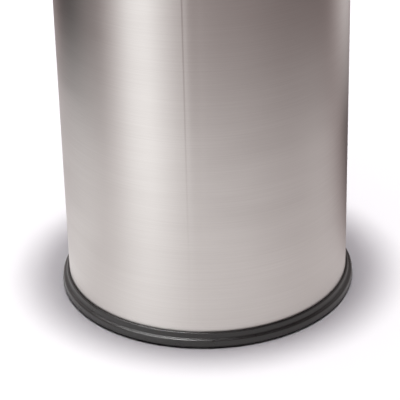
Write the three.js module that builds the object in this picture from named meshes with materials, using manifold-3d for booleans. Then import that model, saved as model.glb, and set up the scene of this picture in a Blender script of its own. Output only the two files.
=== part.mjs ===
// A cylindrical umbrella stand: a rolled steel tube with a wired rim, a pressed base disc spot-welded
// into its foot, a black moulded base ring screwed to the disc from below, rubber feet, and a drip tray
// that lifts out by two wire grips.
//
// Millimetres, +Z up. The origin is the centre of the stand on the floor. The front is -Y.

import * as THREE from "three";
import { mergeVertices } from "three/addons/utils/BufferGeometryUtils.js";
import Module from "manifold-3d";

// The whole stand.
const SHELL_RADIUS = 112.5; // outside of the steel tube
const OVERALL_HEIGHT = 550; // floor to the top of the rolled rim
const SHEET = 0.8; // thickness of the tube and of the base disc
const GAP = 0.3; // kept between pieces that touch on the real stand
const EDGE = 0.5; // small chamfers and roundings
const ROUND_STEPS = 48; // facets round the stand
const SMALL_STEPS = 16; // facets round a screw or a foot
const ROUNDING_STEPS = 3; // facets of a rounding in a profile

// Rolled rim: the tube's top edge turned outwards round a wire.
const CURL_RADIUS = 3.2; // outside of the curl
const CURL_END = -120; // degrees, where the turned edge stops short of the wall
const CURL_STEPS = 10;
const WIRE_RADIUS = 2.0;
const CURL_CENTRE_R = SHELL_RADIUS - SHEET + CURL_RADIUS;
const CURL_CENTRE_Z = OVERALL_HEIGHT - CURL_RADIUS;

// Base ring: a lip against the tube, a lower ledge outside it, and a flat web under the stand.
const FOOT_PROUD = 0.8; // the feet lift the ring this far off the floor
const RING_TOP = 11.9;
const RING_REACH = 5.8; // the ring's widest point, beyond the tube
const RING_DRAFT = 0.5; // how far each outer wall leans in as it rises
const FOOT_ROUND = 1.6;
const LEDGE_Z = 7.3;
const LEDGE_ROUND = 1.6;
const COVE_ROUND = 1.1; // between the ledge and the lip
const LIP_REACH = 2.1;
const LIP_ROUND = 1.0;
const WEB_TOP = 4.0;
const WEB_INNER_RADIUS = 80;
const RIB_THICK = 2.2; // inner rib, which locates the base disc's skirt
const RIB_TOP = 10;

// Base disc: a pressed pan with its skirt down.
const DISC_TOP = 16;
const DISC_UNDER = DISC_TOP - SHEET;
const SKIRT_RADIUS = SHELL_RADIUS - SHEET - GAP;
const SKIRT_BOTTOM = WEB_TOP + GAP;
const DISC_BEND = 3; // outside radius of the bend between flat and skirt
const BEAD_RADIUS = 50; // middle of the pressed stiffening bead
const BEAD_DEPTH = 1.2;
const BEAD_FLAT = 4; // half the width of its bottom
const BEAD_HALF_WIDTH = 6;

// Fasteners, all on one circle.
const FASTENER_COUNT = 4;
const SCREW_CIRCLE = 90.5;
const SCREW_RADIUS = 1.9;
const SCREW_HOLE_RADIUS = 2.3;
const HEAD_RADIUS = 3.9;
const HEAD_BOTTOM = 1.1;
const HEAD_TOP = 3.3;
const HEAD_ROUND = 0.8;
const SCREW_TIP = 21.2;
const RECESS_LENGTH = 4.4;
const RECESS_WIDTH = 0.9;
const RECESS_DEPTH = 1.4;
const COUNTERBORE_RADIUS = 4.5;
const BOSS_RADIUS = 5.5;
const NUT_ACROSS_FLATS = 7;
const NUT_HEIGHT = 3.2;
const NUT_BOTTOM = DISC_TOP + GAP;

// Rubber feet, in pockets between the screws.
const FOOT_CIRCLE = 100;
const FOOT_RADIUS = 8;
const FOOT_HEIGHT = 2.4;

// Drip tray: a cup with a flange that slopes inwards, so that drips from the tube's wall run into it.
const TRAY_FOOT_Z = DISC_TOP + GAP;
const TRAY_UNDERSIDE = 22.4;
const TRAY_FLOOR = 24.2;
const TRAY_FOOT_RADIUS = 79;
const TRAY_FOOT_WIDTH = 2.5;
const TRAY_WALL = 1.7;
const TRAY_LOW_RADIUS = 93; // outside, at the bottom of the drafted wall
const TRAY_HIGH_RADIUS = 95;
const TRAY_CORNER = 5; // outside radius between floor and wall
const FLANGE_RADIUS = 110;
const FLANGE_Z = 64; // top of the flange at its outer edge
const FLANGE_FALL = 1.6; // how far the flange drops towards the cup
const FLANGE_THICK = 1.8;
const FLANGE_SKIRT = 6; // height of the edge turned down outside

// Ribs in the tray's floor, which keep umbrella tips out of the water.
const TRAY_RIB_HEIGHT = 4;
const TRAY_RIB_WIDTH = 2;
const TRAY_RIB_SUNK = 1; // how far a rib reaches into the floor that it stands on
const RIB_RINGS = [24, 58];
const RADIAL_RIBS = 8;
const RADIAL_RIB_START = 22.5; // degrees
const RADIAL_RIB_END = 83;

// Wire grips: bent wires that stand at +X and -X in holes of the tray's flange.
const GRIP_X = 94;
const GRIP_LEG_Y = 35;
const GRIP_RISE = 34; // middle of the wire's top, above the flange's outer edge
const GRIP_BEND = 14;
const GRIP_RADIUS = 2; // of the wire
const GRIP_SIDES = 10;
const GRIP_STEPS = 40;
const COLLAR_RADIUS = 3.4; // pressed swellings of the wire, over and under the flange
const COLLAR_HEIGHT = 1.2;
const COLLAR_GAP = 0.4;

const wasm = await Module();
wasm.setup();

const steel = new THREE.MeshStandardMaterial({ color: 0xbdb8b4, roughness: 0.34, metalness: 1 });
const plainSteel = new THREE.MeshStandardMaterial({ color: 0xa9a9a7, roughness: 0.5, metalness: 1 });
const wireSteel = new THREE.MeshStandardMaterial({ color: 0xc4c4c2, roughness: 0.25, metalness: 1 });
const blackPlastic = new THREE.MeshStandardMaterial({ color: 0x1d1b1b, roughness: 0.42, metalness: 0 });
const trayPlastic = new THREE.MeshStandardMaterial({ color: 0x242424, roughness: 0.55, metalness: 0 });
const rubber = new THREE.MeshStandardMaterial({ color: 0x161616, roughness: 0.9, metalness: 0 });
const zinc = new THREE.MeshStandardMaterial({ color: 0xb9bab6, roughness: 0.35, metalness: 1 });

const radians = THREE.MathUtils.degToRad;

// An arc of a profile as [radius, height] points, both ends included. Angles are in degrees, 0 outwards
// and 90 up.
function arc(centreR, centreZ, radius, from, to, steps = ROUNDING_STEPS) {
  const points = [];
  for (let i = 0; i <= steps; i++) {
    const angle = radians(from + ((to - from) * i) / steps);
    points.push([centreR + radius * Math.cos(angle), centreZ + radius * Math.sin(angle)]);
  }
  return points;
}

// Turns a profile of [radius, height] points about Z. Drawn with the radius to the right and the height
// up, the profile runs counter-clockwise.
function turned(profile, steps = ROUND_STEPS) {
  const meetsAxis = profile[0][0] === 0;
  const loop = meetsAxis ? profile : [...profile, profile[0]];
  const points = loop.map(([r, z]) => new THREE.Vector2(r, z));
  return new THREE.LatheGeometry(points, steps).rotateX(Math.PI / 2);
}

// Extrudes a shape that is drawn in X and Y from one height up to another.
function raised(shape, fromZ, toZ, curveSegments) {
  const options = { depth: toZ - fromZ, bevelEnabled: false, curveSegments };
  return new THREE.ExtrudeGeometry(shape, options).translate(0, 0, fromZ);
}

function cylinder(radius, fromZ, toZ) {
  const geometry = new THREE.CylinderGeometry(radius, radius, toZ - fromZ, SMALL_STEPS);
  return geometry.rotateX(Math.PI / 2).translate(0, 0, (fromZ + toZ) / 2);
}

// A closed geometry as a manifold-3d solid, for joining and cutting.
function solid(geometry) {
  const bare = geometry.clone();
  bare.deleteAttribute("normal");
  bare.deleteAttribute("uv");
  const merged = mergeVertices(bare, 1e-4);
  const vertProperties = new Float32Array(merged.attributes.position.array);
  const triVerts = new Uint32Array(merged.index.array);
  return new wasm.Manifold(new wasm.Mesh({ numProp: 3, vertProperties, triVerts }));
}

function geometryOf(manifold) {
  const mesh = manifold.getMesh();
  const geometry = new THREE.BufferGeometry();
  geometry.setAttribute("position", new THREE.BufferAttribute(mesh.vertProperties, 3));
  geometry.setIndex(new THREE.BufferAttribute(mesh.triVerts, 1));
  geometry.computeVertexNormals();
  return geometry;
}

// Evenly spaced places on a circle. An angle of 0 is +X, and a piece there is turned to face outwards.
function placesOnCircle(radius, count, firstAngle) {
  return Array.from({ length: count }, (_, i) => {
    const angle = radians(firstAngle + (360 * i) / count);
    return { x: radius * Math.cos(angle), y: radius * Math.sin(angle), angle };
  });
}

const screwPlaces = placesOnCircle(SCREW_CIRCLE, FASTENER_COUNT, 0);
const footPlaces = placesOnCircle(FOOT_CIRCLE, FASTENER_COUNT, 45);

// The tube and its rolled rim are one sheet, whose edge turns over the wire and stops short of the wall.
function bodyShell() {
  return turned([
    [SHELL_RADIUS - SHEET, SKIRT_BOTTOM],
    [SHELL_RADIUS, SKIRT_BOTTOM],
    ...arc(CURL_CENTRE_R, CURL_CENTRE_Z, CURL_RADIUS - SHEET, 180, CURL_END, CURL_STEPS),
    ...arc(CURL_CENTRE_R, CURL_CENTRE_Z, CURL_RADIUS, CURL_END, 180, CURL_STEPS),
  ]);
}

function rimWire() {
  const circle = arc(CURL_CENTRE_R, CURL_CENTRE_Z, WIRE_RADIUS, 0, 360, CURL_STEPS);
  return turned(circle.slice(0, -1));
}

// One face of the pressed bead, from the inside out.
function bead(z) {
  return [
    [BEAD_RADIUS - BEAD_HALF_WIDTH, z],
    [BEAD_RADIUS - BEAD_FLAT, z - BEAD_DEPTH],
    [BEAD_RADIUS + BEAD_FLAT, z - BEAD_DEPTH],
    [BEAD_RADIUS + BEAD_HALF_WIDTH, z],
  ];
}

function baseDisc() {
  const bendR = SKIRT_RADIUS - DISC_BEND;
  const bendZ = DISC_TOP - DISC_BEND;
  let disc = solid(
    turned([
      [0, DISC_UNDER],
      ...bead(DISC_UNDER),
      ...arc(bendR, bendZ, DISC_BEND - SHEET, 90, 0),
      [SKIRT_RADIUS - SHEET, SKIRT_BOTTOM],
      [SKIRT_RADIUS, SKIRT_BOTTOM],
      ...arc(bendR, bendZ, DISC_BEND, 0, 90),
      ...bead(DISC_TOP).reverse(),
      [0, DISC_TOP],
    ]),
  );
  for (const { x, y } of screwPlaces) {
    const hole = cylinder(SCREW_HOLE_RADIUS, DISC_UNDER - 1, DISC_TOP + 1).translate(x, y, 0);
    disc = disc.subtract(solid(hole));
  }
  return geometryOf(disc);
}

// The ring's section: along the underside, up the outside and over the lip, down the channel that holds
// the tube, over the inner rib and back along the web.
function ringSection() {
  const widest = SHELL_RADIUS + RING_REACH;
  const shoulderR = widest - RING_DRAFT - LEDGE_ROUND;
  const coveR = SHELL_RADIUS + LIP_REACH + RING_DRAFT + COVE_ROUND;
  const lipR = SHELL_RADIUS + LIP_REACH - LIP_ROUND;
  const channelR = SHELL_RADIUS + GAP;
  const ribOuter = SKIRT_RADIUS - SHEET - GAP;
  const ribInner = ribOuter - RIB_THICK;
  return [
    [WEB_INNER_RADIUS, FOOT_PROUD],
    ...arc(widest - FOOT_ROUND, FOOT_PROUD + FOOT_ROUND, FOOT_ROUND, -90, 0),
    ...arc(shoulderR, LEDGE_Z - LEDGE_ROUND, LEDGE_ROUND, 10, 90),
    ...arc(coveR, LEDGE_Z + COVE_ROUND, COVE_ROUND, 270, 180),
    ...arc(lipR, RING_TOP - LIP_ROUND, LIP_ROUND, 0, 90),
    [channelR + GAP, RING_TOP],
    [channelR, RING_TOP - GAP],
    [channelR, WEB_TOP],
    [ribOuter, WEB_TOP],
    [ribOuter, RIB_TOP - EDGE],
    [ribOuter - EDGE, RIB_TOP],
    [ribInner + EDGE, RIB_TOP],
    [ribInner, RIB_TOP - EDGE],
    [ribInner, WEB_TOP],
    [WEB_INNER_RADIUS, WEB_TOP],
  ];
}

function baseRing() {
  const bossTop = DISC_UNDER - GAP;
  let ring = solid(turned(ringSection()));
  for (const { x, y } of screwPlaces) {
    const boss = cylinder(BOSS_RADIUS, FOOT_PROUD + EDGE, bossTop).translate(x, y, 0);
    const hole = cylinder(SCREW_HOLE_RADIUS, 0, bossTop + 1).translate(x, y, 0);
    const counterbore = cylinder(COUNTERBORE_RADIUS, 0, HEAD_TOP + GAP).translate(x, y, 0);
    ring = ring.add(solid(boss)).subtract(solid(hole)).subtract(solid(counterbore));
  }
  for (const { x, y } of footPlaces) {
    const pocket = cylinder(FOOT_RADIUS + GAP, 0, FOOT_HEIGHT + GAP).translate(x, y, 0);
    ring = ring.subtract(solid(pocket));
  }
  return geometryOf(ring);
}

// A pan-head screw, head down, with a cross recess.
function ringScrew() {
  const profile = [
    [0, HEAD_BOTTOM],
    [HEAD_RADIUS - HEAD_ROUND, HEAD_BOTTOM],
    [HEAD_RADIUS, HEAD_BOTTOM + HEAD_ROUND],
    [HEAD_RADIUS, HEAD_TOP],
    [SCREW_RADIUS, HEAD_TOP],
    [SCREW_RADIUS, SCREW_TIP - EDGE],
    [SCREW_RADIUS - EDGE, SCREW_TIP],
    [0, SCREW_TIP],
  ];
  const slot = new THREE.BoxGeometry(RECESS_LENGTH, RECESS_WIDTH, 2 * RECESS_DEPTH);
  slot.translate(0, 0, HEAD_BOTTOM);
  const recess = solid(slot).add(solid(slot.clone().rotateZ(Math.PI / 2)));
  return geometryOf(solid(turned(profile, SMALL_STEPS)).subtract(recess));
}

function hexNut() {
  const cornerRadius = NUT_ACROSS_FLATS / 2 / Math.cos(Math.PI / 6);
  const corners = placesOnCircle(cornerRadius, 6, 0).map(({ x, y }) => new THREE.Vector2(x, y));
  const shape = new THREE.Shape(corners);
  const bore = new THREE.Path();
  bore.absarc(0, 0, SCREW_RADIUS + GAP, 0, 2 * Math.PI, true);
  shape.holes.push(bore);
  return raised(shape, NUT_BOTTOM, NUT_BOTTOM + NUT_HEIGHT, SMALL_STEPS / 2);
}

function footPad() {
  const profile = [
    [0, 0],
    [FOOT_RADIUS - EDGE, 0],
    [FOOT_RADIUS, EDGE],
    [FOOT_RADIUS, FOOT_HEIGHT],
    [0, FOOT_HEIGHT],
  ];
  return turned(profile, SMALL_STEPS);
}

// The tray without its ribs and holes: up the outside, round the flange and back down the inside.
function trayCup() {
  const cornerR = TRAY_LOW_RADIUS - TRAY_CORNER;
  const cornerZ = TRAY_UNDERSIDE + TRAY_CORNER;
  const innerEdgeZ = FLANGE_Z - FLANGE_FALL;
  const skirtInner = FLANGE_RADIUS - FLANGE_THICK;
  return turned([
    [0, TRAY_UNDERSIDE],
    [TRAY_FOOT_RADIUS, TRAY_UNDERSIDE],
    [TRAY_FOOT_RADIUS, TRAY_FOOT_Z],
    [TRAY_FOOT_RADIUS + TRAY_FOOT_WIDTH, TRAY_FOOT_Z],
    [TRAY_FOOT_RADIUS + TRAY_FOOT_WIDTH, TRAY_UNDERSIDE],
    ...arc(cornerR, cornerZ, TRAY_CORNER, -90, 0),
    [TRAY_HIGH_RADIUS, innerEdgeZ - FLANGE_THICK],
    [skirtInner, FLANGE_Z - FLANGE_THICK],
    [skirtInner, FLANGE_Z - FLANGE_SKIRT],
    [FLANGE_RADIUS, FLANGE_Z - FLANGE_SKIRT],
    [FLANGE_RADIUS, FLANGE_Z - EDGE],
    [FLANGE_RADIUS - EDGE, FLANGE_Z],
    [TRAY_HIGH_RADIUS - TRAY_WALL + EDGE, innerEdgeZ],
    [TRAY_HIGH_RADIUS - TRAY_WALL, innerEdgeZ - EDGE],
    ...arc(cornerR, cornerZ, TRAY_CORNER - TRAY_WALL, 0, -70),
    [cornerR, TRAY_FLOOR],
    [0, TRAY_FLOOR],
  ]);
}

// The middle line of a grip's wire: up one leg, across the top and down the other.
function gripPath(bottomZ) {
  const topZ = FLANGE_Z + GRIP_RISE;
  const at = (y, z) => new THREE.Vector3(0, y, z);
  const path = new THREE.CurvePath();
  path.add(new THREE.LineCurve3(at(-GRIP_LEG_Y, bottomZ), at(-GRIP_LEG_Y, topZ - GRIP_BEND)));
  for (const side of [-1, 1]) {
    const leg = at(side * GRIP_LEG_Y, topZ - GRIP_BEND);
    const bar = at(side * (GRIP_LEG_Y - GRIP_BEND), topZ);
    const [start, end] = side < 0 ? [leg, bar] : [bar, leg];
    path.add(new THREE.QuadraticBezierCurve3(start, at(side * GRIP_LEG_Y, topZ), end));
    if (side < 0) path.add(new THREE.LineCurve3(bar, at(GRIP_LEG_Y - GRIP_BEND, topZ)));
  }
  path.add(new THREE.LineCurve3(at(GRIP_LEG_Y, topZ - GRIP_BEND), at(GRIP_LEG_Y, bottomZ)));
  return path;
}

// Where the flange's slope passes a grip's legs.
function flangeTopAtLegs() {
  const legR = Math.hypot(GRIP_X, GRIP_LEG_Y);
  const innerR = TRAY_HIGH_RADIUS - TRAY_WALL;
  return FLANGE_Z - (FLANGE_FALL * (FLANGE_RADIUS - legR)) / (FLANGE_RADIUS - innerR);
}

function trayGrip() {
  const overZ = flangeTopAtLegs() + COLLAR_GAP;
  const underZ = flangeTopAtLegs() - FLANGE_THICK - 2 * COLLAR_GAP - COLLAR_HEIGHT;
  const circle = placesOnCircle(GRIP_RADIUS, GRIP_SIDES, 0).map(({ x, y }) => new THREE.Vector2(x, y));
  const options = { extrudePath: gripPath(underZ), steps: GRIP_STEPS, bevelEnabled: false };
  let grip = solid(new THREE.ExtrudeGeometry(new THREE.Shape(circle), options));
  for (const y of [-GRIP_LEG_Y, GRIP_LEG_Y]) {
    for (const z of [overZ, underZ - EDGE]) {
      grip = grip.add(solid(cylinder(COLLAR_RADIUS, z, z + COLLAR_HEIGHT).translate(0, y, 0)));
    }
  }
  return geometryOf(grip);
}

function trayRibs() {
  const low = TRAY_FLOOR - TRAY_RIB_SUNK;
  const high = TRAY_FLOOR + TRAY_RIB_HEIGHT;
  const half = TRAY_RIB_WIDTH / 2;
  const rings = RIB_RINGS.map((r) => {
    return turned([
      [r - half, low],
      [r + half, low],
      [r + half, high],
      [r - half, high],
    ]);
  });
  const length = RADIAL_RIB_END - RIB_RINGS[0];
  const spokes = placesOnCircle(1, RADIAL_RIBS, RADIAL_RIB_START).map(({ angle }) => {
    const spoke = new THREE.BoxGeometry(length, TRAY_RIB_WIDTH, high - low);
    return spoke.translate(RIB_RINGS[0] + length / 2, 0, (high + low) / 2).rotateZ(angle);
  });
  return [...rings, ...spokes].map(solid);
}

function dripTray() {
  let tray = trayRibs().reduce((whole, rib) => whole.add(rib), solid(trayCup()));
  for (const x of [-GRIP_X, GRIP_X]) {
    for (const y of [-GRIP_LEG_Y, GRIP_LEG_Y]) {
      const hole = cylinder(GRIP_RADIUS + GAP, FLANGE_Z - FLANGE_SKIRT, FLANGE_Z + 1).translate(x, y, 0);
      tray = tray.subtract(solid(hole));
    }
  }
  return geometryOf(tray);
}

function piece(name, geometry, material, place = { x: 0, y: 0, angle: 0 }) {
  const mesh = new THREE.Mesh(geometry, material);
  mesh.name = name;
  mesh.position.set(place.x, place.y, 0);
  mesh.rotation.z = place.angle;
  return mesh;
}

const stand = new THREE.Group();
stand.add(piece("body_shell", bodyShell(), steel));
stand.add(piece("rim_wire", rimWire(), plainSteel));
stand.add(piece("base_disc", baseDisc(), plainSteel));
stand.add(piece("base_ring", baseRing(), blackPlastic));
screwPlaces.forEach((place, i) => {
  stand.add(piece(`ring_screw_${i + 1}`, ringScrew(), zinc, place));
  stand.add(piece(`ring_nut_${i + 1}`, hexNut(), zinc, place));
});
footPlaces.forEach((place, i) => {
  stand.add(piece(`foot_pad_${i + 1}`, footPad(), rubber, place));
});

const tray = new THREE.Group();
tray.add(piece("drip_tray", dripTray(), trayPlastic));
tray.add(piece("tray_grip_1", trayGrip(), wireSteel, { x: GRIP_X, y: 0, angle: 0 }));
tray.add(piece("tray_grip_2", trayGrip(), wireSteel, { x: -GRIP_X, y: 0, angle: Math.PI }));
stand.add(tray);

export default stand;
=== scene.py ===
"""An umbrella stand: a brushed steel tube with a rolled rim, a black base ring and a drip tray.

Sizes here are in millimetres and are turned into metres where a mesh is made. The stand's axis is Z,
its origin is on the floor, and its front is -Y.
"""
import math

import bmesh
import bpy
from mathutils import Matrix, Vector

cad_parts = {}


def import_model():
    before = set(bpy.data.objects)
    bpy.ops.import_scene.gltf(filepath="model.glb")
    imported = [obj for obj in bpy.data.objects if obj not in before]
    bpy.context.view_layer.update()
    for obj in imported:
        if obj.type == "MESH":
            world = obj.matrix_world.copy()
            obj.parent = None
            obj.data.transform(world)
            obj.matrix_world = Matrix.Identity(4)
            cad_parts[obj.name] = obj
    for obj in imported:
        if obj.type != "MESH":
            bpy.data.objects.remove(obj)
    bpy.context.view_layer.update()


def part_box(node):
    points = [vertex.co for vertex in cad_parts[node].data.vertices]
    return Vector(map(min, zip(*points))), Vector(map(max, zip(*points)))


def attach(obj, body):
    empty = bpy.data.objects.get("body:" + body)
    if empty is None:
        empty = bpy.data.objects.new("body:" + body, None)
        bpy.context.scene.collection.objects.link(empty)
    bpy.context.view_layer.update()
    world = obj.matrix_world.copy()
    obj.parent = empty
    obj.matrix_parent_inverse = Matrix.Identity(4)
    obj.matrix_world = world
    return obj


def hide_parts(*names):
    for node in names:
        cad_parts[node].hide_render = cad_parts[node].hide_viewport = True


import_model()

MM = 0.001
GAP = 0.3  # between pieces that touch
SHEET = 0.8  # thickness of the tube and of the base disc
ROUND_STEPS = 288  # facets round the stand
SMALL_STEPS = 48  # facets round a screw or a foot
MERGE = 0.002  # points closer than this become one after a cut


def low(node):
    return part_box(node)[0] / MM


def high(node):
    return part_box(node)[1] / MM


def middle(node):
    return (low(node) + high(node)) / 2


# The tube's radius, from the disc that fits inside it.
TUBE_INSIDE = high("base_disc").x + GAP
TUBE_RADIUS = TUBE_INSIDE + SHEET
RIM_TOP = high("body_shell").z


# ---------------------------------------------------------------- meshes

def new_piece(name, body, slot, material, *nodes):
    """An empty mesh object that rides on a body and stands for some CAD nodes."""
    piece = bpy.data.objects.new(name, bpy.data.meshes.new(name))
    bpy.context.scene.collection.objects.link(piece)
    piece.data.materials.append(material)
    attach(piece, body)
    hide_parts(*nodes)
    return piece


def arc(centre_r, centre_z, radius, start, end, steps=8):
    """Points of an arc in a profile. Angles are in degrees, 0 outwards and 90 up."""
    points = []
    for i in range(steps + 1):
        angle = math.radians(start + (end - start) * i / steps)
        points.append((centre_r + radius * math.cos(angle), centre_z + radius * math.sin(angle)))
    return points


def slope(start, end, steps=10):
    """An S-shaped stretch of a profile between two points, level at both ends."""
    points = []
    for i in range(steps + 1):
        along = i / steps
        rise = (1 - math.cos(math.pi * along)) / 2
        points.append((start[0] + (end[0] - start[0]) * along, start[1] + (end[1] - start[1]) * rise))
    return points


def even_angles(steps=ROUND_STEPS):
    return [2 * math.pi * i / steps for i in range(steps)]


def turned(profile, angles=None, offset=None):
    """A bmesh of a counter-clockwise (radius, height) profile turned about Z.

    The profile may be a function of the angle. offset(angle, radius, height) adds to the radius.
    """
    angles = angles or even_angles()
    profile_at = profile if callable(profile) else lambda angle: profile
    mesh = bmesh.new()
    columns = []
    poles = {}
    for angle in angles:
        column = []
        for i, (r, z) in enumerate(profile_at(angle)):
            if r == 0:
                if i not in poles:
                    poles[i] = mesh.verts.new((0, 0, z * MM))
                column.append(poles[i])
                continue
            at = r + (offset(angle, r, z) if offset else 0)
            column.append(mesh.verts.new((at * math.cos(angle) * MM, at * math.sin(angle) * MM, z * MM)))
        columns.append(column)
    count = len(columns[0])
    rows = count - 1 if poles else count
    for c, column in enumerate(columns):
        beside = columns[(c + 1) % len(columns)]
        for i in range(rows):
            j = (i + 1) % count
            corners = [column[i], beside[i], beside[j], column[j]]
            mesh.faces.new(list(dict.fromkeys(corners)))
    return mesh


def lofted(sections):
    """A closed bmesh through rings of points, in millimetres, that all have the same count."""
    mesh = bmesh.new()
    rings = [[mesh.verts.new(Vector(p) * MM) for p in section] for section in sections]
    for ring, following in zip(rings, rings[1:]):
        for i in range(len(ring)):
            j = (i + 1) % len(ring)
            mesh.faces.new((ring[i], ring[j], following[j], following[i]))
    mesh.faces.new(list(reversed(rings[0])))
    mesh.faces.new(rings[-1])
    bmesh.ops.recalc_face_normals(mesh, faces=mesh.faces)
    return mesh


def moved(mesh, x=0, y=0, degrees=0):
    """Turns a bmesh about Z and then moves it."""
    bmesh.ops.rotate(mesh, verts=mesh.verts, matrix=Matrix.Rotation(math.radians(degrees), 3, "Z"))
    bmesh.ops.translate(mesh, verts=mesh.verts, vec=(x * MM, y * MM, 0))
    return mesh


def pin(x, y, bottom, *steps):
    """A stepped pin for cutting a hole. Each step is (radius, top height)."""
    profile = [(0, bottom)]
    for radius, top in steps:
        profile += [(radius, profile[-1][1]), (radius, top)]
    profile.append((0, profile[-1][1]))
    return moved(turned(profile, even_angles(SMALL_STEPS)), x, y)


def put(mesh, piece, sharp=35):
    """Gives a finished bmesh to a piece, smooth except at edges sharper than an angle in degrees."""
    mesh.to_mesh(piece.data)
    mesh.free()
    piece.data.shade_smooth()
    piece.data.set_sharp_from_angle(angle=math.radians(sharp))


def scratch_object(meshes):
    """Some bmeshes as one object that only serves to cut or join another."""
    data = bpy.data.meshes.new("scratch")
    whole = bmesh.new()
    for mesh in meshes:
        mesh.to_mesh(data)
        mesh.free()
        whole.from_mesh(data)
    whole.to_mesh(data)
    whole.free()
    made = bpy.data.objects.new("scratch", data)
    bpy.context.scene.collection.objects.link(made)
    return made


def combined(mesh, others, operation):
    """A bmesh joined with others (UNION) or cut by them (DIFFERENCE)."""
    base = scratch_object([mesh])
    tool = scratch_object(others)
    modifier = base.modifiers.new("combine", "BOOLEAN")
    modifier.operation = operation
    modifier.object = tool
    modifier.solver = "MANIFOLD"
    result = bmesh.new()
    result.from_object(base, bpy.context.evaluated_depsgraph_get())
    for used in (base, tool):
        bpy.data.objects.remove(used)
    bmesh.ops.remove_doubles(result, verts=result.verts, dist=MERGE * MM)
    bmesh.ops.dissolve_degenerate(result, edges=result.edges, dist=MERGE * MM)
    return result


# ---------------------------------------------------------------- materials

STEEL_DARK = (0.56, 0.535, 0.52)
STEEL_LIGHT = (0.64, 0.62, 0.605)
DUST = (0.20, 0.19, 0.18)
RING_DARKEST = (0.007, 0.006, 0.006)
RING_LIGHTEST = (0.013, 0.012, 0.012)
TRAY_DARKEST = (0.030, 0.030, 0.031)
TRAY_LIGHTEST = (0.046, 0.046, 0.047)


class Nodes:
    """A new material's node tree, with short calls to add and join nodes."""

    def __init__(self, name, **uniform):
        self.material = bpy.data.materials.new(name)
        self.material.use_nodes = True
        self.tree = self.material.node_tree
        self.shader = self.tree.nodes["Principled BSDF"]
        for socket, value in uniform.items():
            self.shader.inputs[socket.replace("_", " ")].default_value = value

    def add(self, kind, **settings):
        node = self.tree.nodes.new("ShaderNode" + kind)
        for key, value in settings.items():
            if hasattr(node, key):
                setattr(node, key, value)
            else:
                node.inputs[key.replace("_", " ")].default_value = value
        return node

    def join(self, source, target):
        self.tree.links.new(source, target)
        return source.node

    def stretched_noise(self, scale, detail=2.0, roughness=0.5):
        """Noise with its own scale along each axis, in features per metre."""
        place = self.add("TexCoord").outputs["Object"]
        mapping = self.add("Mapping")
        mapping.inputs["Scale"].default_value = scale
        self.join(place, mapping.inputs["Vector"])
        noise = self.add("TexNoise", Scale=1.0, Detail=detail, Roughness=roughness)
        self.join(mapping.outputs["Vector"], noise.inputs["Vector"])
        return noise.outputs["Fac"]

    def mapped(self, value, low, high, from_low=0.3, from_high=0.7):
        node = self.add("MapRange", From_Min=from_low, From_Max=from_high, To_Min=low, To_Max=high)
        self.join(value, node.inputs["Value"])
        return node.outputs["Result"]

    def mixed(self, factor, first, second):
        """A colour between two others, by a factor socket."""
        node = self.add("Mix", data_type="RGBA")
        self.join(factor, node.inputs[0])
        for socket, value in ((6, first), (7, second)):
            if isinstance(value, bpy.types.NodeSocket):
                self.join(value, node.inputs[socket])
            else:
                node.inputs[socket].default_value = (*value, 1)
        return node.outputs[2]

    def set(self, socket, source):
        self.join(source, self.shader.inputs[socket])

    def bump(self, height, distance, strength=1.0, under=None):
        node = self.add("Bump", Distance=distance, Strength=strength)
        self.join(height, node.inputs["Height"])
        if under:
            self.join(under, node.inputs["Normal"])
        return node.outputs["Normal"]


def brushed_steel():
    """Sheet brushed round the tube: short fine lines, a few longer scratches and faint patches."""
    made = Nodes("brushed_steel", Metallic=1.0, Anisotropic=0.8, Anisotropic_Rotation=0.25)
    lines = made.stretched_noise((14, 14, 2300), detail=4, roughness=0.7)
    scratches = made.stretched_noise((7, 7, 420), detail=2)
    patches = made.stretched_noise((9, 9, 30), detail=2)
    tone = made.mixed(made.mapped(lines, 0.15, 0.85), STEEL_DARK, STEEL_LIGHT)
    scratch = made.mapped(scratches, 0, 0.35, 0.66, 0.72)
    made.set("Base Color", made.mixed(scratch, tone, STEEL_LIGHT))
    made.set("Roughness", made.mapped(patches, 0.30, 0.36))
    tangent = made.add("Tangent", direction_type="RADIAL", axis="Z")
    made.set("Tangent", tangent.outputs["Tangent"])
    made.set("Normal", made.bump(lines, 0.00002, 0.2))
    return made.material


def moulded(name, dark, light, roughness, grain, dust, shine=0.5):
    """Black plastic: a fine moulded grain, a faint mottle, and a little dust on what faces up."""
    made = Nodes(name, Metallic=0.0, Specular_IOR_Level=shine)
    mottle = made.stretched_noise((60, 60, 60), detail=3)
    fine = made.stretched_noise((grain,) * 3, detail=2)
    specks = made.stretched_noise((900, 900, 900), detail=4, roughness=0.7)
    up = made.add("SeparateXYZ")
    made.join(made.add("NewGeometry").outputs["Normal"], up.inputs[0])
    lies = made.mapped(up.outputs["Z"], 0, dust, 0.5, 1.0)
    amount = made.add("Math", operation="MULTIPLY")
    made.join(lies, amount.inputs[0])
    made.join(made.mapped(specks, 0, 1, 0.42, 0.75), amount.inputs[1])
    plain = made.mixed(made.mapped(mottle, 0, 1), dark, light)
    made.set("Base Color", made.mixed(amount.outputs[0], plain, DUST))
    made.set("Roughness", made.mapped(mottle, roughness - 0.04, roughness + 0.05))
    made.set("Normal", made.bump(fine, 0.00003, 0.2))
    return made.material


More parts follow.
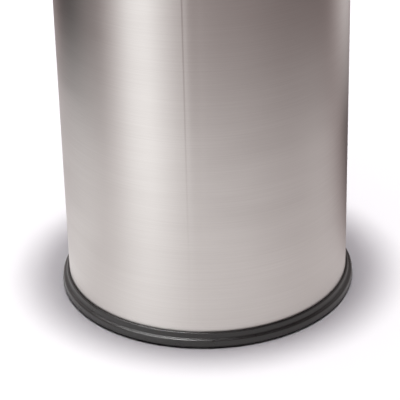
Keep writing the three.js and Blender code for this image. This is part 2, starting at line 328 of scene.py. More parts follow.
def rolled_steel():
    """Mill finish: faint lines along the sheet, cloudy patches and dull spots."""
    made = Nodes("rolled_steel", Metallic=1.0)
    rolled = made.stretched_noise((30, 900, 30), detail=4)
    clouds = made.stretched_noise((35, 50, 35), detail=4, roughness=0.6)
    spots = made.stretched_noise((400, 400, 400), detail=2)
    tone = made.mixed(made.mapped(clouds, 0, 1), (0.43, 0.43, 0.42), (0.56, 0.56, 0.555))
    dull = made.mapped(spots, 0, 0.6, 0.62, 0.75)
    made.set("Base Color", made.mixed(dull, tone, (0.36, 0.35, 0.34)))
    made.set("Roughness", made.mapped(rolled, 0.36, 0.52))
    made.set("Normal", made.bump(rolled, 0.00002, 0.4))
    return made.material


def polished_wire():
    made = Nodes("polished_wire", Metallic=1.0)
    drawn = made.stretched_noise((600, 600, 60), detail=3)
    wear = made.stretched_noise((150, 150, 150), detail=3)
    tone = made.mixed(made.mapped(drawn, 0, 1), (0.58, 0.58, 0.57), (0.68, 0.68, 0.67))
    made.set("Base Color", tone)
    made.set("Roughness", made.mapped(wear, 0.16, 0.27))
    made.set("Normal", made.bump(drawn, 0.00001, 0.3))
    return made.material


def zinc_plate():
    """Zinc plating: slightly blue and slightly yellow by turns, in spots a millimetre or two across."""
    made = Nodes("zinc_plate", Metallic=1.0)
    tint = made.stretched_noise((350, 350, 350), detail=3)
    grain = made.stretched_noise((2200, 2200, 2200), detail=2)
    tone = made.mixed(made.mapped(tint, 0, 1), (0.60, 0.62, 0.63), (0.66, 0.65, 0.58))
    made.set("Base Color", tone)
    made.set("Roughness", made.mapped(grain, 0.26, 0.42))
    made.set("Normal", made.bump(grain, 0.00002, 0.3))
    return made.material


def rubber():
    made = Nodes("rubber", Metallic=0.0)
    bloom = made.stretched_noise((220, 220, 220), detail=4)
    grain = made.stretched_noise((3000, 3000, 3000), detail=2)
    tone = made.mixed(made.mapped(bloom, 0, 1), (0.010, 0.010, 0.010), (0.022, 0.022, 0.021))
    made.set("Base Color", tone)
    made.set("Roughness", made.mapped(bloom, 0.72, 0.86))
    made.set("Normal", made.bump(grain, 0.00004, 0.6))
    return made.material


# ---------------------------------------------------------------- the tube

SEAM_AZIMUTH = -7.13  # degrees to the right of the front, seen from the front
SEAM_STEP = 0.11  # how far the sheet's right edge lies lower than its left one
SEAM_STEP_WIDTH = 1.3
SEAM_LEFT_DIP = 0.26  # how far the sheet falls inside the true circle to the left of the seam
SEAM_LEFT_LENGTH = 8.0
SEAM_STRIP = 4.0  # width of the strip beside the seam, which rises slightly away from it
SEAM_STRIP_RISE = 0.11
SEAM_RIGHT_DIP = 0.27
SEAM_RIGHT_LENGTH = 8.0
SEAM_RECOVERY = 55.0
SEAM_FULL_FROM = 190.0  # height from which the seam is at its most marked
SEAM_FAINT_BELOW = 90.0
SEAM_FAINT = 0.4
SEAM_RIM_LENGTH = 60.0  # length below the rim over which it grows faint again
WALL_ROWS = 12


def smooth(value):
    """An S-shaped rise from 0 to 1 as the value goes from 0 to 1."""
    value = min(1.0, max(0.0, value))
    return value * value * (3 - 2 * value)


def seam_shape(s):
    """How far the sheet stands inside the true circle, at s mm to the right of the seam."""
    recovery = math.exp(-abs(s) / SEAM_RECOVERY)
    if s < 0:
        dip = SEAM_LEFT_DIP * (1 - math.exp(s / SEAM_LEFT_LENGTH))
    else:
        dip = SEAM_RIGHT_DIP * smooth((s - SEAM_STRIP) / SEAM_RIGHT_LENGTH)
        dip -= SEAM_STRIP_RISE * smooth(s / SEAM_STRIP)
    step = SEAM_STEP * smooth(s / SEAM_STEP_WIDTH + 0.5)
    return (dip + step) * recovery


def seam_offset(angle, r, z):
    seam = math.radians(SEAM_AZIMUTH - 90)
    turn = (angle - seam + math.pi) % (2 * math.pi) - math.pi
    marked = (z - SEAM_FAINT_BELOW) / (SEAM_FULL_FROM - SEAM_FAINT_BELOW)
    marked = min(marked, (RIM_TOP - z) / SEAM_RIM_LENGTH)
    strength = SEAM_FAINT + (1 - SEAM_FAINT) * min(1.0, max(0.0, marked))
    return -strength * seam_shape(turn * TUBE_RADIUS)


def tube_angles():
    """Even columns round the tube, with close ones across the seam."""
    seam = math.radians(SEAM_AZIMUTH - 90)
    close = [0.15 * i for i in range(-8, 9)] + [0.5 * i for i in range(3, 33)]
    near = [s / TUBE_RADIUS for s in close]
    span = 2 * math.pi - (near[-1] - near[0])
    rest = [near[-1] + span * i / ROUND_STEPS for i in range(1, ROUND_STEPS)]
    return [seam + a for a in near + rest]


def tube():
    piece = new_piece("steel_tube", "stand", "brushed_shell", brushed_steel(), "body_shell")
    rim = high("body_shell")
    curl = (rim.x - TUBE_INSIDE) / 2
    curl_r = TUBE_INSIDE + curl
    curl_z = rim.z - curl
    curl_end = -120
    bottom = low("body_shell").z
    rows = [bottom + (curl_z - bottom) * i / WALL_ROWS for i in range(WALL_ROWS)]
    profile = [
        *[(TUBE_RADIUS, z) for z in rows],
        *arc(curl_r, curl_z, curl - SHEET, 180, curl_end, 30),
        *arc(curl_r, curl_z, curl, curl_end, 180, 36),
        *[(TUBE_INSIDE, z) for z in reversed(rows)],
    ]
    put(turned(profile, tube_angles(), seam_offset), piece)


def rim_wire(material):
    piece = new_piece("rim_wire_ring", "stand", "plain_steel", material, "rim_wire")
    radius = (high("rim_wire").z - low("rim_wire").z) / 2
    centre_r = high("rim_wire").x - radius
    circle = arc(centre_r, middle("rim_wire").z, radius, 0, 360, 24)
    put(turned(circle[:-1]), piece)


# ---------------------------------------------------------------- the base disc

SCREW_HOLE = 2.3
DISC_BEND = 3
BEAD_RADIUS = 50
BEAD_DEPTH = 1.2
BEAD_FLAT = 3
BEAD_HALF_WIDTH = 7


def screw_places():
    return [(middle(f"ring_screw_{i}").x, middle(f"ring_screw_{i}").y) for i in range(1, 5)]


def foot_places():
    return [(middle(f"foot_pad_{i}").x, middle(f"foot_pad_{i}").y) for i in range(1, 5)]


def bead(z):
    """One face of the pressed bead, from the inside out."""
    dip = z - BEAD_DEPTH
    return [
        *slope((BEAD_RADIUS - BEAD_HALF_WIDTH, z), (BEAD_RADIUS - BEAD_FLAT, dip)),
        *slope((BEAD_RADIUS + BEAD_FLAT, dip), (BEAD_RADIUS + BEAD_HALF_WIDTH, z)),
    ]


def base_disc(material):
    piece = new_piece("base_disc_pan", "stand", "plain_steel", material, "base_disc")
    top = high("base_disc").z
    bottom = low("base_disc").z
    outer = high("base_disc").x
    under = top - SHEET
    burr = 0.15
    profile = [
        (0, under),
        *bead(under),
        *arc(outer - DISC_BEND, top - DISC_BEND, DISC_BEND - SHEET, 90, 0),
        (outer - SHEET, bottom + burr),
        (outer - SHEET + burr, bottom),
        (outer - burr, bottom),
        (outer, bottom + burr),
        *arc(outer - DISC_BEND, top - DISC_BEND, DISC_BEND, 0, 90, 12),
        *reversed(bead(top)),
        (0, top),
    ]
    holes = [pin(x, y, under - 1, (SCREW_HOLE, top + 1)) for x, y in screw_places()]
    put(combined(turned(profile), holes, "DIFFERENCE"), piece)


# ---------------------------------------------------------------- the base ring

RING_DRAFT = 0.5
FOOT_ROUND = 1.6
LEDGE_Z = 7.3
LEDGE_ROUND = 1.6
COVE_ROUND = 1.1
LIP_REACH = 2.1
LIP_ROUND = 1.0
RING_TOP = 11.9
WEB_INNER = 80
RIB_THICK = 2.2
RIB_TOP = 10
EDGE = 0.5
BOSS_RADIUS = 5.5
COUNTERBORE_RADIUS = 4.5
COUNTERBORE_DEPTH = 2.8
EJECTOR_RADIUS = 2.2
EJECTOR_DEPTH = 0.25
EJECTOR_CIRCLE = 86.5
EJECTOR_COUNT = 8


def ring_section():
    """Along the underside, up the outside, down the channel for the tube, over the rib, and back."""
    bottom = low("base_ring").z
    widest = high("base_ring").x
    web_top = low("body_shell").z - GAP
    lip_r = TUBE_RADIUS + LIP_REACH
    channel = TUBE_RADIUS + GAP
    rib_outer = high("base_disc").x - SHEET - GAP
    rib_inner = rib_outer - RIB_THICK
    return [
        (WEB_INNER + EDGE, bottom),
        *arc(widest - FOOT_ROUND, bottom + FOOT_ROUND, FOOT_ROUND, -90, 0, 12),
        *arc(widest - RING_DRAFT - LEDGE_ROUND, LEDGE_Z - LEDGE_ROUND, LEDGE_ROUND, 10, 90, 12),
        *arc(lip_r + RING_DRAFT + COVE_ROUND, LEDGE_Z + COVE_ROUND, COVE_ROUND, 270, 180, 8),
        *arc(lip_r - LIP_ROUND, RING_TOP - LIP_ROUND, LIP_ROUND, 0, 90, 8),
        (channel + GAP, RING_TOP),
        (channel, RING_TOP - GAP),
        (channel, web_top + EDGE),
        (channel - EDGE, web_top),
        (rib_outer + EDGE, web_top),
        (rib_outer, web_top + EDGE),
        *arc(rib_outer - EDGE, RIB_TOP - EDGE, EDGE, 0, 90, 4),
        *arc(rib_inner + EDGE, RIB_TOP - EDGE, EDGE, 90, 180, 4),
        *arc(rib_inner - EDGE, web_top + EDGE, EDGE, 0, -90, 4),
        *arc(WEB_INNER + EDGE, web_top - EDGE, EDGE, 90, 180, 4),
        (WEB_INNER, bottom + EDGE),
    ]


def screw_boss(bottom, top):
    profile = [
        (0, bottom + EDGE),
        (BOSS_RADIUS, bottom + EDGE),
        *arc(BOSS_RADIUS - EDGE, top - EDGE, EDGE, 0, 90, 4),
        (0, top),
    ]
    return turned(profile, even_angles(SMALL_STEPS))


def ejector_marks(bottom):
    marks = []
    for i in range(EJECTOR_COUNT):
        angle = 2 * math.pi * (i + 0.5) / EJECTOR_COUNT
        x = EJECTOR_CIRCLE * math.cos(angle)
        y = EJECTOR_CIRCLE * math.sin(angle)
        marks.append(pin(x, y, 0, (EJECTOR_RADIUS, bottom + EJECTOR_DEPTH)))
    return marks


def base_ring(material):
    piece = new_piece("base_ring_moulding", "stand", "ring_plastic", material, "base_ring")
    bottom = low("base_ring").z
    boss_top = high("base_disc").z - SHEET - GAP
    counterbore = (COUNTERBORE_RADIUS, bottom + COUNTERBORE_DEPTH)
    pocket = ((high("foot_pad_1").x - low("foot_pad_1").x) / 2 + GAP, high("foot_pad_1").z + GAP)
    bosses = [moved(screw_boss(bottom, boss_top), x, y) for x, y in screw_places()]
    cuts = [pin(x, y, 0, counterbore, (SCREW_HOLE, boss_top + 1)) for x, y in screw_places()]
    cuts += [pin(x, y, 0, pocket) for x, y in foot_places()]
    cuts += ejector_marks(bottom)
    ring = combined(turned(ring_section()), bosses, "UNION")
    put(combined(ring, cuts, "DIFFERENCE"), piece, 30)
    return piece


# ---------------------------------------------------------------- fasteners and feet

HEAD_HEIGHT = 2.2
HEAD_ROUND = 1.1
HEAD_EDGE = 0.2
SHANK_RADIUS = 1.95
SHANK_POINT = 0.6
SHANK_SUNK = 0.1  # how far the shank starts inside the head
THREAD_PITCH = 0.7
THREAD_DEPTH = 0.38
THREAD_STEPS = 8  # rows to a turn
SHANK_STEPS = 24
RECESS_LENGTH = 4.4
RECESS_WIDTH = 0.9
RECESS_DEPTH = 1.4
RECESS_TAPER = 0.65


def thread(angle, r, z):
    """A V thread on the shank, as a change of radius."""
    if r != SHANK_RADIUS:
        return 0
    turns = z / THREAD_PITCH - angle / (2 * math.pi)
    return -THREAD_DEPTH * abs(2 * (turns % 1) - 1)


def screw_recess(bottom):
    """A cross whose arms narrow as they go in."""
    half_w = RECESS_WIDTH / 2
    half_l = RECESS_LENGTH / 2
    outline = []
    for quarter in range(4):
        turn = Matrix.Rotation(quarter * math.pi / 2, 2)
        outline += [turn @ Vector(p) for p in ((half_l, -half_w), (half_l, half_w), (half_w, half_w))]
    levels = ((bottom - 1, 1.0), (bottom, 1.0), (bottom + RECESS_DEPTH, RECESS_TAPER))
    return lofted([[(p.x * scale, p.y * scale, z) for p in outline] for z, scale in levels])


def screw_head(bottom, radius):
    top = bottom + HEAD_HEIGHT
    profile = [
        (0, bottom),
        *arc(radius - HEAD_ROUND, bottom + HEAD_ROUND, HEAD_ROUND, -90, 0, 10),
        *arc(radius - HEAD_EDGE, top - HEAD_EDGE, HEAD_EDGE, 0, 90, 3),
        (0, top),
    ]
    head = turned(profile, even_angles(SMALL_STEPS))
    return combined(head, [screw_recess(bottom)], "DIFFERENCE")


def screw_shank(head_top, tip):
    end = tip - SHANK_POINT
    start = head_top - SHANK_SUNK
    rows = int((end - head_top) / THREAD_PITCH * THREAD_STEPS)
    heights = [start + (end - start) * i / rows for i in range(rows + 1)]
    profile = [
        (0, start),
        *[(SHANK_RADIUS, z) for z in heights],
        (SHANK_RADIUS - SHANK_POINT, tip),
        (0, tip),
    ]
    return turned(profile, even_angles(SHANK_STEPS), thread)


def ring_screw(number, material):
    node = f"ring_screw_{number}"
    piece = new_piece(f"pan_head_screw_{number}", "stand", "zinc", material, node)
    bottom = low(node).z
    head = screw_head(bottom, (high(node).x - low(node).x) / 2)
    shank = screw_shank(bottom + HEAD_HEIGHT, high(node).z)
    whole = combined(head, [shank], "UNION")
    put(moved(whole, middle(node).x, middle(node).y), piece)


def ring_nut(number, material):
    node = f"ring_nut_{number}"
    piece = new_piece(f"hex_nut_{number}", "stand", "zinc", material, node)
    bottom = low(node).z
    top = high(node).z
    flats = (high(node).y - low(node).y) / 2
    bore = 2.0
    lead = 0.35
    chamfer_r = flats * 0.97
    chamfer = math.tan(math.radians(30))
    place = middle(node)
    facing = math.degrees(math.atan2(place.y, place.x))

    def section(angle):
        from_flat = (angle % (math.pi / 3)) - math.pi / 6
        outer = flats / math.cos(from_flat)
        drop = (outer - chamfer_r) * chamfer
        return [
            (bore, bottom + lead),
            (bore + lead, bottom),
            (chamfer_r, bottom),
            (outer, bottom + drop),
            (outer, top - drop),
            (chamfer_r, top),
            (bore + lead, top),
            (bore, top - lead),
        ]

    nut = turned(section, even_angles(72))
    put(moved(nut, place.x, place.y, facing), piece, 25)


def foot_pad(number, material):
    """A rubber disc with two round grooves in its sole and a dished middle."""
    node = f"foot_pad_{number}"
    piece = new_piece(f"rubber_foot_{number}", "stand", "foot_rubber", material, node)
    outer = (high(node).x - low(node).x) / 2
    top = high(node).z
    groove = 0.35
    profile = [(0, groove), (1.8, groove), *slope((1.8, groove), (2.4, 0), 4)]
    for r in (3.6, 5.6):
        profile += [*slope((r, 0), (r + 0.3, groove), 4), *slope((r + 0.7, groove), (r + 1.0, 0), 4)]
    profile += [
        *arc(outer - 0.6, 0.6, 0.6, -90, 0, 6),
        *arc(outer - 0.3, top - 0.3, 0.3, 0, 90, 4),
        (0, top),
    ]
    pad = turned(list(dict.fromkeys(profile)), even_angles(SMALL_STEPS))
    put(moved(pad, middle(node).x, middle(node).y), piece, 50)


# ---------------------------------------------------------------- the drip tray

TRAY_WALL = 1.7
TRAY_UNDERSIDE = 22.4
TRAY_FLOOR = 24.2
TRAY_FOOT_RADIUS = 79
TRAY_FOOT_WIDTH = 2.5
TRAY_LOW_RADIUS = 93
TRAY_HIGH_RADIUS = 95
TRAY_CORNER = 5
FLANGE_FALL = 1.6
FLANGE_THICK = 1.8
TRAY_RIB_HEIGHT = 4
TRAY_RIB_WIDTH = 2
RIB_FILLET = 0.9
RIB_ROUND = 0.5
RIB_RINGS = (24, 58)
RADIAL_RIBS = 8
RADIAL_RIB_START = 22.5
RADIAL_RIB_END = 83
RADIAL_RIB_FALL = 3  # length over which its outer end slopes down
GATE_RADIUS = 3
GRIP_WIRE = 2.0
GRIP_HOLE = GRIP_WIRE + GAP
COLLAR_RADIUS = 3.4
COLLAR_HEIGHT = 1.2


def rib_outline(rise=TRAY_RIB_HEIGHT):
    """Across a rib from its right side to its left, as (distance from its middle, height)."""
    half = TRAY_RIB_WIDTH / 2
    foot = TRAY_FLOOR
    top = TRAY_FLOOR + rise
    fillet = min(RIB_FILLET, rise / 2)
    rounding = min(RIB_ROUND, rise / 3)
    right = arc(half + fillet, foot + fillet, fillet, 270, 180, 4)
    right += arc(half - rounding, top - rounding, rounding, 0, 90, 4)
    return right + [(-x, z) for x, z in reversed(right)]


def tray_section():
    """Up the outside, round the flange, down the inside and over the ring-shaped ribs."""
    foot = low("drip_tray").z
    top = high("drip_tray").z
    outer = high("drip_tray").x
    skirt_bottom = top - 6
    corner_r = TRAY_LOW_RADIUS - TRAY_CORNER
    corner_z = TRAY_UNDERSIDE + TRAY_CORNER
    fold_z = top - FLANGE_FALL - FLANGE_THICK
    inner_edge = TRAY_HIGH_RADIUS - TRAY_WALL
    skirt_inner = outer - FLANGE_THICK
    foot_end = TRAY_FOOT_RADIUS + TRAY_FOOT_WIDTH
    draft = 0.3
    section = [
        (0, TRAY_UNDERSIDE - EDGE),
        (GATE_RADIUS - EDGE / 2, TRAY_UNDERSIDE - EDGE),
        (GATE_RADIUS, TRAY_UNDERSIDE),
        *arc(TRAY_FOOT_RADIUS - EDGE, TRAY_UNDERSIDE - EDGE, EDGE, 90, 0, 4),
        *arc(TRAY_FOOT_RADIUS + EDGE + draft, foot + EDGE, EDGE, 180, 270, 4),
        *arc(foot_end - EDGE - draft, foot + EDGE, EDGE, -90, 0, 4),
        *arc(foot_end + EDGE, TRAY_UNDERSIDE - EDGE, EDGE, 180, 90, 4),
        *arc(corner_r, corner_z, TRAY_CORNER, -90, 0, 12),
        *arc(TRAY_HIGH_RADIUS + 1.5, fold_z - 1.5, 1.5, 180, 95, 6),
        *arc(skirt_inner - 1, top - FLANGE_THICK - 1, 1, 85, 0, 5),
        (skirt_inner, skirt_bottom + EDGE),
        *arc(outer - FLANGE_THICK / 2, skirt_bottom + FLANGE_THICK / 2, FLANGE_THICK / 2, 180, 360, 10),
        *arc(outer - 1.2, top - 1.2, 1.2, 0, 90, 8),
        *arc(inner_edge + 1, top - FLANGE_FALL - 1, 1, 86, 180, 8),
        *arc(corner_r, corner_z, TRAY_CORNER - TRAY_WALL, 0, -90, 12),
    ]
    for r in reversed(RIB_RINGS):
        section += [(r + x, z) for x, z in rib_outline()]
    return section + [(0, TRAY_FLOOR)]


def radial_rib(degrees):
    sections = []
    sunk = TRAY_FLOOR - TRAY_WALL / 2
    stations = (
        (RIB_RINGS[0], TRAY_RIB_HEIGHT),
        (RADIAL_RIB_END - RADIAL_RIB_FALL, TRAY_RIB_HEIGHT),
        (RADIAL_RIB_END - RADIAL_RIB_FALL / 3, TRAY_RIB_HEIGHT * 0.6),
        (RADIAL_RIB_END, TRAY_RIB_HEIGHT * 0.1),
    )
    for x, rise in stations:
        outline = rib_outline(rise)
        wide = outline[0][0]
        outline = [(wide, sunk), *outline, (-wide, sunk)]
        sections.append([(x, y, z) for y, z in outline])
    return moved(lofted(sections), degrees=degrees)


def grip_x():
    return middle("tray_grip_1").x


def grip_leg_y():
    return high("tray_grip_1").y - COLLAR_RADIUS


def drip_tray(material):
    piece = new_piece("drip_tray_moulding", "tray", "tray_plastic", material, "drip_tray")
    top = high("drip_tray").z
    tray = turned(tray_section())
    ribs = [radial_rib(RADIAL_RIB_START + 360 * i / RADIAL_RIBS) for i in range(RADIAL_RIBS)]
    tray = combined(tray, ribs, "UNION")
    holes = []
    for x in (-grip_x(), grip_x()):
        for y in (-grip_leg_y(), grip_leg_y()):
            holes.append(pin(x, y, top - 5.5, (GRIP_HOLE, top + 1)))
    put(combined(tray, holes, "DIFFERENCE"), piece, 30)


def grip_stations(node):
    """Along half a grip, from a leg's staked end to the middle of the bar: (y, z, tilt, radius)."""
    end = low(node).z
    bar = high(node).z - GRIP_WIRE
    leg = grip_leg_y()
    bend = 12
    flange = high("drip_tray").z - FLANGE_FALL / 2
    over = flange + 0.5
    upright = [
        (end, 1.6),
        (end + 0.15, 2.6),
        (end + 0.45, 3.2),
        (end + 0.8, COLLAR_RADIUS),
        (end + COLLAR_HEIGHT, 3.2),
        (end + COLLAR_HEIGHT + 0.05, GRIP_WIRE),
        (over, GRIP_WIRE),
        (over + 0.05, 3.2),
        (over + 0.3, COLLAR_RADIUS),
        (over + 0.9, COLLAR_RADIUS),
        (over + COLLAR_HEIGHT, 3.1),
        (over + 1.6, 2.3),
        (over + 2.2, GRIP_WIRE),
        (bar - bend, GRIP_WIRE),
    ]
    stations = [(leg, z, 90, r) for z, r in upright]
    for i in range(1, 15):
        tilt = 90 * i / 14
        at = math.radians(tilt)
        y = leg - bend + bend * math.cos(at)
        z = bar - bend + bend * math.sin(at)
        stations.append((y, z, 90 + tilt, GRIP_WIRE))
    return stations


def tray_grip(number, material):
    """A bent wire with two pressed collars on each leg, one over and one under the flange."""
    node = f"tray_grip_{number}"
    piece = new_piece(f"wire_grip_{number}", "tray", "grip_wire", material, node)
    x = middle(node).x
    half = grip_stations(node)
    stations = half + [(-y, z, 180 - tilt, r) for y, z, tilt, r in reversed(half)]
    sections = []
    for y, z, tilt, r in stations:
        across = math.radians(tilt - 90)
        ring = []
        for angle in even_angles(28):
            side = r * math.cos(angle)
            reach = r * math.sin(angle)
            ring.append((x + side, y + reach * math.cos(across), z + reach * math.sin(across)))
        sections.append(ring)
    # The two legs run in opposite directions, so the second half's rings are turned over.
    for i in range(len(half), len(sections)):
        sections[i] = sections[i][:1] + sections[i][:0:-1]
    put(lofted(sections), piece, 40)


# ---------------------------------------------------------------- stage

# The camera, fitted to the outlines in the photograph: in front of the stand and above it. Its angles are
# in degrees, its lens and frame in millimetres.
CAMERA_BACK = 11.251 * TUBE_RADIUS
CAMERA_HEIGHT = 6.4826 * TUBE_RADIUS
CAMERA_PITCH = 27.636
CAMERA_YAW = -0.221
CAMERA_ROLL = -1.390
CAMERA_LENS = 160.04
CAMERA_FRAME = 36


def camera():
    data = bpy.data.cameras.new("camera")
    data.lens = CAMERA_LENS
    data.sensor_width = CAMERA_FRAME
    data.clip_start = 0.05
    data.clip_end = 20
    made = bpy.data.objects.new("camera", data)
    bpy.context.scene.collection.objects.link(made)
    turn = Matrix.Rotation(math.radians(-CAMERA_YAW), 4, "Z")
    turn @= Matrix.Rotation(math.radians(90 - CAMERA_PITCH), 4, "X")
    turn @= Matrix.Rotation(math.radians(CAMERA_ROLL), 4, "Z")
    made.matrix_world = Matrix.Translation((0, -CAMERA_BACK * MM, CAMERA_HEIGHT * MM)) @ turn
    bpy.context.scene.camera = made


FLOOR_SIZE = 30  # in metres, like the fade
FLOOR_COLOUR = (0.86, 0.855, 0.86)
FADE_START = 0.45
FADE_END = 1.5
FADE_GLOW = 0.85


def floor():
    """A white floor. Far from the stand, where the lamps don't reach, it glows faintly to stay as pale."""
    mesh = bmesh.new()
    bmesh.ops.create_grid(mesh, x_segments=1, y_segments=1, size=FLOOR_SIZE)
    made = scratch_object([mesh])
    made.name = "floor"
    paint = Nodes("floor", Roughness=0.9)
    paint.shader.inputs["Base Color"].default_value = (*FLOOR_COLOUR, 1)
    paint.shader.inputs["Emission Color"].default_value = (1, 1, 1, 1)
    distance = paint.add("VectorMath", operation="LENGTH")
    paint.join(paint.add("TexCoord").outputs["Object"], distance.inputs[0])
    glow = paint.mapped(distance.outputs["Value"], 0, FADE_GLOW, FADE_START, FADE_END)
    paint.set("Emission Strength", glow)
    paint.material.cycles.emission_sampling = "NONE"
    made.data.materials.append(paint.material)


# Lamps over the stand, which light it and the floor but don't show in reflections: a small one that draws
# the soft shadow round the foot, and a wide panel that fills it. Lengths in metres.
LAMP_HEIGHT = 2.8
LAMPS = (
    {"name": "small_lamp", "diameter": 0.18, "forward": 0.03, "watts": 51, "colour": (1, 1, 1)},
    {"name": "wide_panel", "diameter": 2.3, "forward": 0, "watts": 59, "colour": (1, 0.955, 1.02)},
)


def lamps():
    for lamp in LAMPS:
        data = bpy.data.lights.new(lamp["name"], "AREA")
        data.shape = "DISK"
        data.size = lamp["diameter"]
        data.energy = lamp["watts"]
        data.color = lamp["colour"]
        made = bpy.data.objects.new(lamp["name"], data)
        bpy.context.scene.collection.objects.link(made)
        made.location = (0, -lamp["forward"], LAMP_HEIGHT)
        made.visible_camera = False
        made.visible_glossy = False


# What reflections see round the stand: a card on the floor and a tall round screen, both grey. Lights and
# dark flags are lighter and darker stretches of them. Tones are for (the floor card, the screen's foot, the
# screen above). Azimuths and half widths are in degrees, azimuths to the right from the front.
CARD_INNER = 1.08 * TUBE_RADIUS
CARD_HEIGHT = 0.5
SCREEN_RADIUS = 3.2 * TUBE_RADIUS
SCREEN_HEIGHT = 9 * TUBE_RADIUS
SCREEN_FOOT = 1.4 * TUBE_RADIUS  # height at which the foot's tones have faded out
CARD, FOOT, ABOVE = range(3)
STUDIO_GREY = (0.8, 0.8, 0.2)
STUDIO = (
    {"name": "front softbox", "azimuth": -42, "half_width": 32, "adds": (0.2, 0.6, 1.0)},
    {"name": "softbox spill", "azimuth": -30, "half_width": 40, "adds": (0.15, 0.3, 0.3)},
    {"name": "front bounce", "azimuth": 5, "half_width": 60, "adds": (0.15, 0.3, 0.1)},
    {"name": "left bounce", "azimuth": -90, "half_width": 50, "adds": (0.25, 0.3, 0.0)},
    {"name": "left flag", "azimuth": -105, "half_width": 35, "adds": (0.0, 0.0, -0.2)},
    {"name": "back panel", "azimuth": -160, "half_width": 50, "adds": (0.0, 0.0, 0.3)},
    {"name": "right strip", "azimuth": 125, "half_width": 35, "adds": (0.0, 0.0, 0.6)},
    {"name": "back flag", "azimuth": 145, "half_width": 60, "adds": (-0.8, -0.8, 0.0)},
)
STUDIO_STEPS = 30  # stops of the colour ramps, which may have 32
DARKEST = 0.02
REFLECTED_PEAK = 2.0
WARMTH = (0.0, 0.30, 0.32)  # how much green and blue the darkest tones lose
REFLECTOR_STEPS = 96
SOFTBOX_EDGES = ((-0.06, 1.0), (-0.34, 0.55))  # x and height of its edges, in metres
SOFTBOX_HALF_WIDTH = 0.12
SOFTBOX_STRENGTH = 8
RING_LIGHT_PLACE = (-0.20, 0.0, 0.77)
RING_LIGHT_AIM = (-0.05, -0.10, 0.0)
RING_LIGHT_SIZE = (0.30, 0.30)
RING_LIGHT_WATTS = 18
WARMTH = (0.0, 0.30, 0.32)  # how much green and blue the darkest tones lose


def studio_tone(azimuth, surface):
    """The tone of one of the three surfaces at an azimuth."""
    tone = STUDIO_GREY[surface]
    for item in STUDIO:
        away = abs((azimuth - item["azimuth"] + 180) % 360 - 180)
        tone += item["adds"][surface] * smooth(1 - away / item["half_width"])
    return max(DARKEST, min(REFLECTED_PEAK, tone))


def tone_colour(tone):
    level = tone / REFLECTED_PEAK
    dark = (1 - level) ** 3
    return (*(level * (1 - loss * dark) for loss in WARMTH), 1)


def reflector_material(name, *surfaces):
    """Emission with the tones of one surface, or fading upwards from one surface's to another's."""
    made = Nodes(name)
    tree = made.tree
    tree.nodes.remove(made.shader)
    axes = made.add("SeparateXYZ")
    made.join(made.add("TexCoord").outputs["Object"], axes.inputs[0])
    behind = made.add("Math", operation="MULTIPLY")
    behind.inputs[1].default_value = -1
    made.join(axes.outputs["Y"], behind.inputs[0])
    azimuth = made.add("Math", operation="ARCTAN2")
    made.join(axes.outputs["X"], azimuth.inputs[0])
    made.join(behind.outputs[0], azimuth.inputs[1])
    share = made.mapped(azimuth.outputs[0], 0, 1, -math.pi, math.pi)
    colours = []
    for surface in surfaces:
        ramp = made.add("ValToRGB")
        stops = ramp.color_ramp.elements
        while len(stops) <= STUDIO_STEPS:
            stops.new(0.5)
        for i, stop in enumerate(stops):
            stop.position = i / STUDIO_STEPS
            stop.color = tone_colour(studio_tone(360 * i / STUDIO_STEPS - 180, surface))
        made.join(share, ramp.inputs["Fac"])
        colours.append(ramp.outputs["Color"])
    emission = made.add("Emission", Strength=REFLECTED_PEAK)
    made.join(colours[0], emission.inputs["Color"])
    if len(colours) == 2:
        rise = made.add("MapRange", interpolation_type="SMOOTHSTEP")
        rise.inputs["From Max"].default_value = SCREEN_FOOT * MM
        made.join(axes.outputs["Z"], rise.inputs["Value"])
        made.join(made.mixed(rise.outputs["Result"], *colours), emission.inputs["Color"])
    made.join(emission.outputs[0], tree.nodes["Material Output"].inputs["Surface"])
    return made.material


def reflections_only(made):
    made.visible_camera = False
    made.visible_diffuse = False
    made.visible_shadow = False
    made.visible_transmission = False
    made.visible_volume_scatter = False


def reflector(name, start, end, material):
    """A band turned about Z from one (radius, height) to another, which only reflections see."""
    mesh = bmesh.new()
    edges = []
    for r, z in (start, end):
        circle = [(r * math.cos(a) * MM, r * math.sin(a) * MM, z * MM) for a in even_angles(REFLECTOR_STEPS)]
        edges.append([mesh.verts.new(point) for point in circle])
    for i in range(REFLECTOR_STEPS):
        j = (i + 1) % REFLECTOR_STEPS
        mesh.faces.new((edges[0][i], edges[0][j], edges[1][j], edges[1][i]))
    made = scratch_object([mesh])
    made.name = name
    made.data.materials.append(material)
    reflections_only(made)


def softbox():
    """A bright sheet up at the left, leaning over the stand, which only reflections see."""
    mesh = bmesh.new()
    corners = []
    for x, z in SOFTBOX_EDGES:
        for y in (-SOFTBOX_HALF_WIDTH, SOFTBOX_HALF_WIDTH):
            corners.append(mesh.verts.new((x, y, z)))
    mesh.faces.new((corners[0], corners[1], corners[3], corners[2]))
    made = scratch_object([mesh])
    made.name = "softbox"
    paint = Nodes("softbox")
    paint.tree.nodes.remove(paint.shader)
    emission = paint.add("Emission", Strength=SOFTBOX_STRENGTH)
    paint.join(emission.outputs[0], paint.tree.nodes["Material Output"].inputs["Surface"])
    made.data.materials.append(paint.material)
    reflections_only(made)


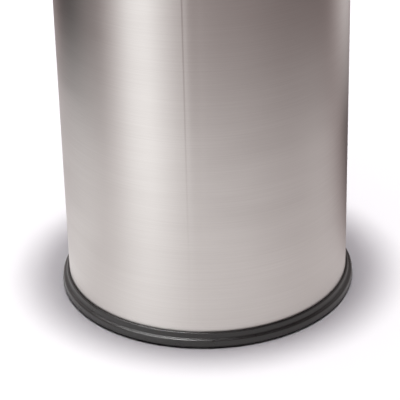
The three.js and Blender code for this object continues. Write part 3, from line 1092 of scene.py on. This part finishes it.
def reflectors():
    card = reflector_material("floor_card", CARD)
    wall = reflector_material("screen", FOOT, ABOVE)
    reflector("floor_card", (CARD_INNER, CARD_HEIGHT), (SCREEN_RADIUS, CARD_HEIGHT), card)
    reflector("screen", (SCREEN_RADIUS, 0), (SCREEN_RADIUS, SCREEN_HEIGHT), wall)
    softbox()


def ring_light(ring):
    """A lamp up at the left that reaches the ring alone and draws the highlight along its ledge."""
    data = bpy.data.lights.new("ring_light", "AREA")
    data.shape = "RECTANGLE"
    data.size, data.size_y = RING_LIGHT_SIZE
    data.energy = RING_LIGHT_WATTS
    data.diffuse_factor = 0
    made = bpy.data.objects.new("ring_light", data)
    bpy.context.scene.collection.objects.link(made)
    made.location = RING_LIGHT_PLACE
    aim = Vector(RING_LIGHT_AIM) - Vector(RING_LIGHT_PLACE)
    made.rotation_euler = aim.to_track_quat("-Z", "Y").to_euler()
    made.visible_camera = False
    made.light_linking.receiver_collection = bpy.data.collections.new("lit_by_ring_light")
    made.light_linking.receiver_collection.objects.link(ring)


WORLD_STRENGTH = 0.85


def world():
    """A plain pale surround. The lamps alone light the floor."""
    made = bpy.data.worlds.new("world")
    bpy.context.scene.world = made
    made.use_nodes = True
    made.cycles.sampling_method = "NONE"
    made.cycles_visibility.diffuse = False
    background = made.node_tree.nodes["Background"]
    background.inputs["Color"].default_value = (1, 1, 1, 1)
    background.inputs["Strength"].default_value = WORLD_STRENGTH


# ---------------------------------------------------------------- the whole scene

camera()
floor()
lamps()
reflectors()
world()
bpy.context.scene.view_settings.view_transform = "Standard"

sheet_steel = rolled_steel()
wire = polished_wire()
zinc = zinc_plate()
black_rubber = rubber()
ring_black = moulded("ring_plastic", RING_DARKEST, RING_LIGHTEST, 0.30, 2500, 0.04, 0.58)
tray_black = moulded("tray_plastic", TRAY_DARKEST, TRAY_LIGHTEST, 0.48, 1500, 0.12)

tube()
rim_wire(sheet_steel)
base_disc(sheet_steel)
ring_light(base_ring(ring_black))
for number in range(1, 5):
    ring_screw(number, zinc)
    ring_nut(number, zinc)
    foot_pad(number, black_rubber)
drip_tray(tray_black)
for number in (1, 2):
    tray_grip(number, wire)

bpy.context.view_layer.update()
